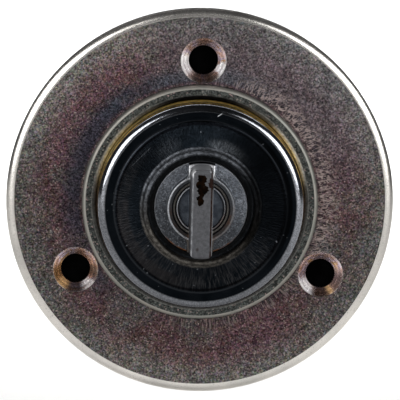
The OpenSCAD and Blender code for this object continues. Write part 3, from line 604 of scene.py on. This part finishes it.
def cast_grey():
    """Sandy zinc casting, painted lighter toward the top and right as lit, with painted highlights and shade
    on its edges, crests and grooves, a paler ring at the disc's edge and a rusty patch on the blade's end
    face.
    """
    t = Tree("cast_grey")
    x, y, z = t.split(t.p)
    r, u = t.polar()
    ux, _, uz = t.split(u)
    grain = t.noise(3600, 3.0, 0.7)
    sand = t.split(t.cells(4300))
    base = t.ramp(t.noise(260, 3.0, 0.6), [(0.35, (0.042, 0.047, 0.056)), (0.65, (0.082, 0.089, 0.102))])
    # Painted light: lighter toward the top and the right, darker toward the bottom.
    painted_light = t.add(t.mul(uz, 0.55), t.mul(t.most(ux, 0.0), 0.45))
    base = t.times(base, t.span(painted_light, -0.35, 0.66, 0.52, 1.35))
    speck = t.mul(t.span(grain, 0.34, 0.68, 0.50, 1.50, smooth=False), t.add(0.52, t.mul(sand[0], 0.96)),
                  t.span(t.noise(1300, 2.0, 0.6), 0.36, 0.64, 0.80, 1.20))
    base = t.times(base, speck)
    # A few grains painted bright as glints.
    base = t.mix(t.mul(t.span(sand[1], 0.90, 0.96), 0.40), base, (0.24, 0.25, 0.27))
    rim = t.mul(t.span(r, 8.72, 8.82), t.span(y, -0.0094, -0.0092))
    base = t.mix(t.mul(rim, 0.6), base, (0.16, 0.165, 0.175))
    base = hub_marks(t, base, r, y, z, ux, uz, grain)

    body = t.span(y, -0.0114, -0.0118)
    top = t.span(y, -0.0160, -0.0180)
    wall = t.mul(t.span(r, 8.72, 8.80), t.span(z, 0.0070, 0.0080), t.span(y, -0.0092, -0.0094))
    base = blade_marks(t, base, x, y, z, body, wall)
    patch, dot, line = rust(t, x, z, top, body)
    stain = t.ramp(t.noise(900, 2.0, 0.5), [(0.4, (0.0020, 0.0016, 0.0014)), (0.6, (0.0075, 0.0036, 0.0018))])
    base = t.mix(patch, base, stain)
    base = t.mix(dot, base, (0.018, 0.012, 0.011))
    base = t.mix(t.mul(line, 0.95), base, (0.014, 0.006, 0.004))

    rough = t.add(0.36, t.mul(grain, 0.16), t.mul(patch, 0.15))
    metal = t.add(0.75, t.mul(t.most(patch, line, wall), 0.25))
    n = t.bump(t.add(t.mul(grain, 0.6), t.mul(sand[0], 0.4)), 0.00006, 0.5)
    return t.finish(base, rough, metal, n)


# ---------------------------------------------------------------- materials of the other pieces
def turned(name, low, high, rough=0.25):
    """Turned or stamped metal with fine marks."""
    t = Tree(name)
    marks = t.noise(900, 4.0, 0.65)
    base = t.ramp(t.noise(200, 2.0, 0.5), [(0.38, low), (0.62, high)])
    return t.finish(base, t.add(rough, t.mul(marks, 0.14)), 1.0, t.bump(marks, 0.00003, 0.35))


def moulded(name, low, high, rough, **constants):
    """Moulded plastic or rubber with a fine skin."""
    t = Tree(name)
    fine = t.noise(2400, 3.0, 0.6)
    base = t.ramp(t.noise(260, 4.0, 0.6), [(0.36, low), (0.64, high)])
    base = t.mix(t.mul(t.span(fine, 0.60, 0.72), 0.35), base, tuple(min(1.0, c * 2.2) for c in high))
    return t.finish(base, t.add(rough, t.mul(fine, 0.2)), 0.0, t.bump(fine, 0.00006, 0.5), **constants)


def seal_rubber():
    """Black rubber lip seal, dusty with fine bluish grit, painted darker next to the disc as shade in the
    gap.
    """
    t = Tree("seal_rubber")
    grit = t.noise(2300, 3.0, 0.7)
    base = t.ramp(t.noise(420, 3.0, 0.6), [(0.36, (0.005, 0.006, 0.007)), (0.64, (0.012, 0.014, 0.017))])
    base = t.mix(t.span(grit, 0.52, 0.66, 0.0, 0.7), base, (0.050, 0.054, 0.060))
    r, _ = t.polar()
    # Painted shade: darker next to the disc, in the gap between them.
    base = t.times(base, t.span(r, 9.55, 10.1, 0.20, 1.0))
    rough = t.add(0.5, t.mul(grit, 0.2))
    return t.finish(base, rough, 0.0, t.bump(grit, 0.00008, 0.6), Specular_IOR_Level=0.05)


MAT = {
    "zinc_plate": zinc_plate(),
    "zinc_rim": zinc_rim(),
    "zinc_edge": zinc_edge(),
    "countersink": countersink(),
    "dark_steel": shell_face(),
    "shell_gold": shell_gold(),
    "gold_zinc": gold_zinc(),
    "cast_grey": cast_grey(),
    "rubber": moulded("rubber", (0.010, 0.010, 0.011), (0.022, 0.022, 0.023), 0.55, Specular_IOR_Level=0.30),
    "rubber_unlit": moulded("rubber_unlit", (0.0005, 0.0005, 0.0005), (0.0011, 0.0011, 0.0012), 0.70,
                            Specular_IOR_Level=0.0),
    "seal_rubber": seal_rubber(),
    "bright_steel": turned("bright_steel", (0.48, 0.48, 0.50), (0.58, 0.58, 0.60)),
    "dark_pin": turned("dark_pin", (0.10, 0.10, 0.105), (0.16, 0.16, 0.165), 0.35),
    "bronze": turned("bronze", (0.42, 0.25, 0.10), (0.55, 0.34, 0.15), 0.38),
    "phenolic": moulded("phenolic", (0.018, 0.013, 0.011), (0.040, 0.028, 0.022), 0.36),
    "copper": turned("copper", (0.58, 0.24, 0.13), (0.72, 0.34, 0.20), 0.24),
    "silver": turned("silver", (0.72, 0.72, 0.70), (0.82, 0.82, 0.80), 0.18),
    "zinc_hardware": turned("zinc_hardware", (0.50, 0.50, 0.49), (0.62, 0.62, 0.60), 0.28),
    "nylon": moulded("nylon", (0.62, 0.60, 0.50), (0.72, 0.70, 0.60), 0.42),
}
SLOT_OF = {s["node"]: s["material_slot"] for s in frame["record"]["subparts"]}
for name, o in NODES.items():
    o.data.materials.clear()
    o.data.materials.append(MAT[SLOT_OF[name]])
    for p in o.data.polygons:
        p.material_index = 0

# The gasket's front faces close the screw holes from behind and are painted black, without shine, as the
# shade seen through the holes.
GASKET_FRONT = 0.1 * MM
NODES["panel_gasket"].data.materials.append(MAT["rubber_unlit"])
for p in NODES["panel_gasket"].data.polygons:
    if p.center.y < GASKET_FRONT:
        p.material_index = 1


# ---------------------------------------------------------------- geometry helpers
def arc(r, h, radius, start, end, n=10):
    """Points on an arc of a profile; angles in degrees, 0 outwards and 90 to the front."""
    return [(r + radius * math.cos(math.radians(start + (end - start) * k / n)),
             h + radius * math.sin(math.radians(start + (end - start) * k / n))) for k in range(n + 1)]


def spaced(points, step):
    """Adds points near both ends of long straight stretches, so that smooth shading stays at the corners."""
    out = []
    for a, b in zip(points, points[1:] + points[:1]):
        out.append(a)
        d = math.dist(a, b)
        if d > 6 * step:
            for f in (step / d, 1 - step / d):
                out.append((a[0] + (b[0] - a[0]) * f, a[1] + (b[1] - a[1]) * f))
    return out


def ring_of(bm, r, h, segments, centre=(0.0, 0.0)):
    """A ring of vertices of radius r at height h, in millimetres."""
    turns = [2 * math.pi * k / segments for k in range(segments)]
    return [bm.verts.new(((centre[0] + r * math.cos(a)) * MM, -h * MM, (centre[1] + r * math.sin(a)) * MM))
            for a in turns]


def band(bm, a, b):
    """Closes the strip between two loops of vertices."""
    for k in range(len(a)):
        j = (k + 1) % len(a)
        bm.faces.new((a[k], b[k], b[j], a[j]))


def revolve(points):
    """A solid of revolution about the turning axis from a closed profile of (radius, height)."""
    bm = bmesh.new()
    rings = [ring_of(bm, r, h, SEGMENTS) for r, h in points]
    for a, b in zip(rings, rings[1:] + rings[:1]):
        band(bm, a, b)
    return bm


def plug(points, segments, centre=(0.0, 0.0)):
    """A closed solid of revolution whose profile starts and ends on its own axis."""
    bm = bmesh.new()
    first, last = (bm.verts.new((centre[0] * MM, -h * MM, centre[1] * MM))
                   for _, h in (points[0], points[-1]))
    rings = [ring_of(bm, r, h, segments, centre) for r, h in points[1:-1]]
    for k in range(segments):
        j = (k + 1) % segments
        bm.faces.new((first, rings[0][k], rings[0][j]))
        bm.faces.new((last, rings[-1][j], rings[-1][k]))
    for a, b in zip(rings, rings[1:]):
        band(bm, a, b)
    return bm


def skin(bm, rows):
    """Joins loops of points given in millimetres and closes both ends."""
    loops = [[bm.verts.new((x * MM, y * MM, z * MM)) for x, y, z in row] for row in rows]
    for a, b in zip(loops, loops[1:]):
        band(bm, a, b)
    bm.faces.new(loops[0][::-1])
    bm.faces.new(loops[-1])
    return bm


def mesh_object(name, bm, mats=()):
    """Turns a bmesh into an object with the named materials."""
    bmesh.ops.recalc_face_normals(bm, faces=bm.faces)
    me = bpy.data.meshes.new(name)
    bm.to_mesh(me)
    bm.free()
    for m in mats:
        me.materials.append(MAT[m])
    o = bpy.data.objects.new(name, me)
    bpy.context.scene.collection.objects.link(o)
    return o


def belongs(o, body, replaced):
    """Attaches a piece to the body that it rides on and hides the CAD piece that it stands for."""
    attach(o, body)
    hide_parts(replaced)


def smooth(o, sharp):
    """Smooth shading with edges kept sharp from an angle in degrees."""
    o.data.shade_smooth()
    o.data.set_sharp_from_angle(angle=math.radians(sharp))


def bake(o):
    """Applies all of an object's modifiers."""
    old = o.data
    o.data = bpy.data.meshes.new_from_object(o.evaluated_get(bpy.context.evaluated_depsgraph_get()))
    o.modifiers.clear()
    bpy.data.meshes.remove(old)


def combine(base, others, op):
    """Unites closed solids with base, cuts them out of it or keeps what they share, and removes them."""
    for other in others:
        m = base.modifiers.new("boolean", "BOOLEAN")
        m.operation, m.solver, m.object = op, "EXACT", other
        m.material_mode = "TRANSFER"
    bake(base)
    for other in others:
        bpy.data.objects.remove(other)
    return base


def by_place(bm, choose):
    """Gives each face the material number that choose returns for its radius and height in millimetres."""
    for f in bm.faces:
        c = f.calc_center_median()
        f.material_index = choose(math.hypot(c.x, c.z) / MM, -c.y / MM)
    return bm


# ---------------------------------------------------------------- flange
RIM_ROUND, RIM_STEP = 2.2, 1.6
RELIEF_R, RELIEF_TOP = 22.3, 1.4
LIP_WIDTH, LIP_DROP = 0.8, 0.2
EDGE_ROUND, ROOT_FILLET, BACK_ROUND = 0.7, 0.3, 0.15


def flange_material(r, h):
    """0 plate, 1 rounded rim, 3 outer edge of the collar."""
    if r > FLANGE_R - RIM_STEP - 0.04:
        return 1
    return 3 if COLLAR_R - 0.65 < r < COLLAR_R + 0.2 and h > PLATE_TOP + 0.25 else 0


rim_end = math.degrees(math.acos(RIM_STEP / RIM_ROUND))
lip = [(COLLAR_BORE_R + LIP_WIDTH * (1 - math.cos(math.radians(9 * k))),
        COLLAR_TOP - LIP_DROP * (1 - math.sin(math.radians(9 * k)))) for k in range(11)]
flange_profile = ([(COLLAR_BORE_R, RELIEF_TOP)] + lip
                  + arc(COLLAR_R - EDGE_ROUND, COLLAR_TOP - EDGE_ROUND, EDGE_ROUND, 90, 0, 8)
                  + arc(COLLAR_R + ROOT_FILLET, PLATE_TOP + ROOT_FILLET, ROOT_FILLET, 180, 270, 5)
                  + arc(FLANGE_R - RIM_STEP, PLATE_TOP - RIM_ROUND, RIM_ROUND, 90, rim_end, 14)
                  + arc(FLANGE_R - BACK_ROUND, BACK_ROUND, BACK_ROUND, 0, -90, 3)
                  + [(RELIEF_R, 0.0), (RELIEF_R, RELIEF_TOP)])
flange = mesh_object("flange_v", by_place(revolve(spaced(flange_profile, 0.12)), flange_material),
                     ["zinc_plate", "zinc_rim", "countersink", "zinc_edge"])
smooth(flange, 35)
CONE_FOOT = PLATE_TOP - (CONE_R - CLEARANCE_R)
screw_hole = [(0, -1), (CLEARANCE_R, -1), (CLEARANCE_R, CONE_FOOT), (CONE_R, PLATE_TOP),
              (CONE_R + 0.15, PLATE_TOP + 0.15), (CONE_R + 0.15, 4), (0, 4)]
combine(flange, [mesh_object("cutter", plug(screw_hole, 96, hole), ["countersink"]) for hole in HOLES],
        "DIFFERENCE")
flange.data.set_sharp_from_angle(angle=math.radians(30))
belongs(flange, "housing", "flange")

# ---------------------------------------------------------------- cover shell and seal
# From the foot's outer edge inwards: foot, wall, bead, shoulder, dished face and rolled lip, then the inside.
shell_out = (arc(22.1, 0.8, 0.1, 0, 90, 2) + [(20.5, 0.9)] + arc(20.5, 1.4, 0.5, 270, 180, 5)
             + arc(SHELL_R - 0.22, 7.05, 0.22, 0, 90, 8) + [(19.76, 7.32), (19.76, 7.96)]
             + arc(18.4, SHOULDER_TOP - 1.6, 1.6, 32, 90, 16)
             + [(16.7, SHOULDER_TOP), (15.0, 9.078), (13.3, 9.355)]
             + arc(11.8, 10.3, 0.7, -85, -170, 7) + arc(SHELL_LIP_R - 0.45, 10.55, 0.45, 0, 180, 14))
shell_in = ([(10.2, 8.7), (11.7, 8.7), (16.6, 7.9)] + arc(18.4, SHOULDER_TOP - 1.6, 0.7, 90, 0, 6)
            + [(19.1, 0.0), (22.1, 0.0)])
shell = mesh_object("cover_shell_v", by_place(revolve(spaced(shell_out + shell_in, 0.1)),
                                              lambda r, h: 1 if h < 7.30 and r > 19.3 else 0),
                    ["dark_steel", "shell_gold"])
smooth(shell, 50)
belongs(shell, "housing", "cover_shell")

seal_profile = ([(9.02, 7.0), (11.6, 7.0), (11.6, 8.65), (10.2, 8.65)] + arc(10.05, 8.75, 0.15, 0, 90, 3)
                + arc(9.17, 8.75, 0.15, 90, 180, 3))
seal = mesh_object("shaft_seal_v", revolve(spaced(seal_profile, 0.06)), ["seal_rubber"])
smooth(seal, 40)
belongs(seal, "housing", "shaft_seal")


# ---------------------------------------------------------------- handle
AROUND = 192
# Heights where the raised parts begin inside the disc, and where the solids that trim them begin.
RAISED_FOOT, TRIM_FOOT = 8.8, 8.0
VOXEL, SOFTENING = ((0.08 * MM, 5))


def prism(points, z0, z1):
    """Extrudes a polygon of (x, height) along Z, in millimetres."""
    return skin(bmesh.new(), [[(x, -h, z) for x, h in points] for z in (z0, z1)])


def slab(points, h0, h1):
    """Extrudes an outline of (x, z), as seen from the front, between two heights in millimetres."""
    return skin(bmesh.new(), [[(x, -h, z) for x, z in points] for h in (h0, h1)])


def rounded(r, foot, top, edge):
    """A cylinder about the axis with a rounded front edge, to keep what lies inside it."""
    return plug([(0, foot), (r, foot)] + arc(r - edge, top - edge, edge, 0, 90, 6) + [(0, top)], AROUND)


def mirrored(quadrant):
    """Closes an outline given in its upper right quadrant, from the top centre outwards."""
    back = quadrant[::-1]
    lower = [(x, -z) for x, z in back] + [(-x, -z) for x, z in quadrant]
    return quadrant + lower + [(-x, z) for x, z in back]


def disc():
    """The turning disc, slightly crowned, with a softened edge."""
    edge = [(DISC_R, 6.0), (DISC_R, 8.98), (8.92, 9.06), (8.80, 9.11)]
    return mesh_object("handle_v", plug([(0, 6.0)] + edge + [(HUB_R, DISC_TOP), (0, DISC_TOP)], AROUND))


def hub():
    """The raised ring: a sloped front face, a groove and a sunk pocket."""
    front = [(HUB_R, 11.0), (6.44, 11.14), (6.3, HUB_TOP), (6.15, HUB_TOP), (5.4, 10.8), (5.4, 10.5)]
    groove = [(4.95, 10.5), (4.95, 10.1), (4.7, 10.1), (4.7, 10.6)]
    pocket = [(4.4, 10.6), (4.4, 9.9), (0, 9.9)]
    profile = [(0, RAISED_FOOT), (HUB_R, RAISED_FOOT)] + front + groove + pocket
    return mesh_object("hub", plug(profile, AROUND))


def ears():
    """The two ears that run from the hub to the disc's edge, under the ends of the blade."""
    half, corner, fillet = 2.5, 0.6, 1.6
    fx = half + fillet
    fz = math.sqrt((HUB_R + fillet) ** 2 - fx * fx)
    root = 180 + math.degrees(math.atan2(fz, fx))
    tip = arc(half - corner, EAR_REACH - corner, corner, 90, 0, 5)
    bar = mesh_object("ears", slab(mirrored(tip + arc(fx, fz, fillet, 180, root, 10)), RAISED_FOOT, HUB_TOP))
    combine(bar, [mesh_object("clip", rounded(EAR_REACH, TRIM_FOOT, HUB_TOP, 0.5))], "INTERSECT")
    core = plug([(0, TRIM_FOOT), (6.2, TRIM_FOOT), (6.2, 12.0), (0, 12.0)], AROUND)
    return combine(bar, [mesh_object("core", core)], "DIFFERENCE")


def blade():
    """The upright blade: tapered from its foot to a rounded front edge, with rounded ends."""
    half_foot, half_front, edge = 2.3, 2.05, 0.5
    profile = ([(-half_foot, RAISED_FOOT), (half_foot, RAISED_FOOT)]
               + arc(half_front - edge, BLADE_TOP - edge, edge, 0, 90, 6)
               + arc(edge - half_front, BLADE_TOP - edge, edge, 90, 180, 6))
    bar = mesh_object("blade", prism(profile, -DISC_R, DISC_R))
    combine(bar, [mesh_object("clip", rounded(BLADE_REACH, TRIM_FOOT, BLADE_TOP, edge))], "INTERSECT")
    plan = slab(mirrored(arc(0.7, BLADE_REACH - 1.6, 1.6, 90, 0, 10)), TRIM_FOOT, BLADE_TOP + 0.9)
    return combine(bar, [mesh_object("plan", plan)], "INTERSECT")


handle = combine(disc(), [hub(), ears(), blade()], "UNION")
m = handle.modifiers.new("cast", "REMESH")
m.mode, m.voxel_size = "VOXEL", VOXEL
m = handle.modifiers.new("soften", "SMOOTH")
m.factor, m.iterations = 0.5, SOFTENING
bake(handle)
handle.data.materials.clear()
handle.data.materials.append(MAT["cast_grey"])
handle.data.shade_smooth()
belongs(handle, "lever", "handle")

# ---------------------------------------------------------------- can and terminal studs
WALL = 0.9
can_profile = ([(CAN_R - WALL, 0.0)] + arc(23.25, -0.15, 0.15, 90, 0, 2) + arc(23.25, -0.75, 0.15, 0, -90, 2)
               + arc(CAN_R + 0.5, -1.4, 0.5, 90, 180, 6)
               + arc(CAN_R - WALL, WALL - CAN_BACK, WALL, 0, -90, 10)
               + [(18.5, -CAN_BACK), (18.5, WALL - CAN_BACK), (CAN_R - WALL, WALL - CAN_BACK)])
can = mesh_object("rear_can_v", revolve(spaced(can_profile, 0.1)), ["gold_zinc"])
smooth(can, 40)
belongs(can, "housing", "rear_can")

STUD_X, STUD_R, PITCH, THREAD_DEPTH = 11.0, 4.0, 1.25, 0.62
HEAD_HALF, HEAD_BEVEL = 5.0, 0.4
THREAD_START, THREAD_END = 53.6, 66.0


def thread_radius(y, turn):
    """Radius of the thread's surface, `turn` being how far round one pitch the point is, from 0 to 1."""
    flank = min(1.0, max(0.0, (abs(2 * turn - 1) - 0.10) / 0.78))
    return min(STUD_R - THREAD_DEPTH * (1 - flank), 3.4 + (y - THREAD_START), 3.2 + (THREAD_END - y))


def stud(bm, x0, around=48, per_turn=12):
    """A square-headed stud: plain shank, relief groove, then an M8 thread to a chamfered end."""
    far, near = HEAD_HALF, HEAD_HALF - HEAD_BEVEL
    head = [(far, near), (near, far), (-near, far), (-far, near),
            (-far, -near), (-near, -far), (near, -far), (far, -near)]
    skin(bm, [[(x0 + x * f, y, z * f) for x, z in head]
              for y, f in ((34.63, 0.94), (34.93, 1.0), (38.4, 1.0), (38.6, 0.97))])
    angles = [2 * math.pi * k / around for k in range(around)]
    rows = [[(x0 + r * math.cos(a), y, r * math.sin(a)) for a in angles]
            for r, y in ((STUD_R, 38.0), (STUD_R, 38.2), (STUD_R, 52.6), (STUD_R, 52.8), (3.4, 52.8))]
    count = int((THREAD_END - THREAD_START) / PITCH * per_turn)
    for i in range(count + 1):
        y = THREAD_START + (THREAD_END - THREAD_START) * i / count
        radii = [thread_radius(y, (y / PITCH + a / (2 * math.pi)) % 1.0) for a in angles]
        rows.append([(x0 + r * math.cos(a), y, r * math.sin(a)) for r, a in zip(radii, angles)])
    skin(bm, rows)


both = bmesh.new()
for x0 in (-STUD_X, STUD_X):
    stud(both, x0)
studs = mesh_object("terminal_studs_v", both, ["copper"])
smooth(studs, 50)
belongs(studs, "housing", "terminal_studs")


# ---------------------------------------------------------------- stage, light and camera
def area(name, at, target, size, power, spread=180.0):
    """A rectangular light at one point that faces another."""
    d = bpy.data.lights.new(name, "AREA")
    d.shape, d.size, d.size_y, d.energy = "RECTANGLE", size[0], size[1], power
    d.spread = math.radians(spread)
    o = bpy.data.objects.new(name, d)
    o.location = at
    o.rotation_mode = "QUATERNION"
    o.rotation_quaternion = (Vector(target) - Vector(at)).to_track_quat("-Z", "Y")
    bpy.context.scene.collection.objects.link(o)


def paper():
    """Off-white matt paper with soft clouding."""
    t = Tree("floor")
    tone = t.ramp(t.noise(3.0, 2.0, 0.5), [(0.3, (0.90, 0.895, 0.885)), (0.7, (0.93, 0.93, 0.925))])
    return t.finish(tone, 0.7, 0.0)


FLOOR_HALF, FLOOR_Z = 4.0, -0.060
grid = bmesh.new()
bmesh.ops.create_grid(grid, x_segments=1, y_segments=1, size=FLOOR_HALF)
floor = mesh_object("floor", grid)
floor.data.materials.append(paper())
floor.location = (0, 0, FLOOR_Z)

for name, side in (("left", -1), ("right", 1)):
    area(name, (side * 0.53, -0.72, 0.25), (0, 0, 0.02), (0.60, 0.50), 5.4)
area("behind", (0, 0.45, 0.75), (0, 0.75, FLOOR_Z), (1.6, 0.8), 14.0, spread=110.0)

world = bpy.data.worlds.new("world")
world.use_nodes = True
bpy.context.scene.world = world
bg = world.node_tree.nodes["Background"]
bg.inputs["Color"].default_value = (0.95, 0.97, 1.0, 1.0)
bg.inputs["Strength"].default_value = 0.05

# The camera looks down on the front by a few degrees and sees VIEW_WIDTH metres at the target.
ELEVATION, AZIMUTH, ROLL = math.radians(8.8), math.radians(-1.7), math.radians(1.5)
DISTANCE, VIEW_WIDTH, SENSOR = 0.62, 0.0774, 36.0
target = Vector((0.0, -0.0025, 0.00040))
back = Vector((math.sin(AZIMUTH) * math.cos(ELEVATION), -math.cos(AZIMUTH) * math.cos(ELEVATION),
               math.sin(ELEVATION)))
cam_data = bpy.data.cameras.new("camera")
cam_data.sensor_width = SENSOR
cam_data.lens = SENSOR * DISTANCE / VIEW_WIDTH
cam_data.clip_start, cam_data.clip_end = 0.02, 20.0
cam = bpy.data.objects.new("camera", cam_data)
cam.location = target + back * DISTANCE
cam.rotation_mode = "QUATERNION"
look = (-back).to_track_quat("-Z", "Y")
cam.rotation_quaternion = look @ Matrix.Rotation(ROLL, 4, "Z").to_quaternion()
bpy.context.scene.collection.objects.link(cam)
bpy.context.scene.camera = cam
bpy.context.scene.view_settings.view_transform = "Standard"
